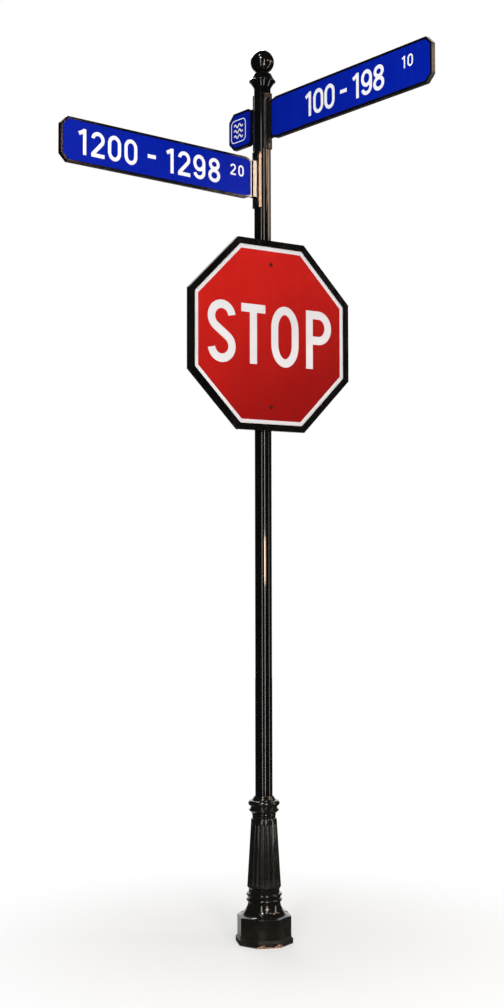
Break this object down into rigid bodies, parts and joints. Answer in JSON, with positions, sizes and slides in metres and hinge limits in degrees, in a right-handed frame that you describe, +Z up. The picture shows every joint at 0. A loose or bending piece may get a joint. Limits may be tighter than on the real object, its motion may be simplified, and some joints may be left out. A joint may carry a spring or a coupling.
{
  "type": "signpost with sign",
  "caption": "Round post on a fluted cast base with a ball finial, carrying a framed octagonal stop sign, street name blades at right angles and a small badge.",
  "frame": {"origin": "on the ground at the post's axis, in the middle of the anchor bolt circle under the base plate", "axes": "+Z up along the post's axis; the stop sign faces -Y; the lower blade points 6 degrees off -X and the upper blade 6 degrees off -Y"},
  "size_m": [1.4185, 1.2324, 3.8127],
  "materials": {
    "plate_steel": "hot-rolled steel, primed",
    "post_enamel": "gloss black enamel on steel tube",
    "base_enamel": "gloss black enamel on cast iron, chipped at the foot",
    "finial_enamel": "gloss black enamel on cast aluminium",
    "bracket_coat": "rough black coat on cast aluminium",
    "frame_coat": "gloss black coat on aluminium",
    "blue_sheeting": "blue reflective sheeting on aluminium sheet",
    "red_sheeting": "red and white reflective sheeting on aluminium sheet",
    "black_screws": "blackened steel",
    "zinc": "zinc-plated steel"
  },
  "bodies": {
    "root": {"base_plate": "plate_steel", "post_weld": "plate_steel", "base_casting": "base_enamel", "base_set_screws": "black_screws", "post_tube": "post_enamel", "finial": "finial_enamel", "finial_set_screws": "black_screws", "upper_saddle": "bracket_coat", "badge_saddle": "bracket_coat", "lower_saddle": "bracket_coat", "saddle_screws": "black_screws", "upper_blade_frame": "frame_coat", "upper_blade_left_face": "blue_sheeting", "upper_blade_right_face": "blue_sheeting", "lower_blade_frame": "frame_coat", "lower_blade_front_face": "blue_sheeting", "lower_blade_back_face": "blue_sheeting", "badge_frame": "frame_coat", "badge_left_face": "blue_sheeting", "badge_right_face": "blue_sheeting", "blade_screws": "black_screws", "sign_frame": "frame_coat", "sign_panel": "red_sheeting", "panel_clips": "zinc", "clip_screws": "zinc", "upper_sign_seat": "bracket_coat", "lower_sign_seat": "bracket_coat", "sign_bolts": "zinc", "sign_washers": "zinc", "seat_washers": "zinc", "sign_nuts": "zinc"}
  },
  "joints": []
}
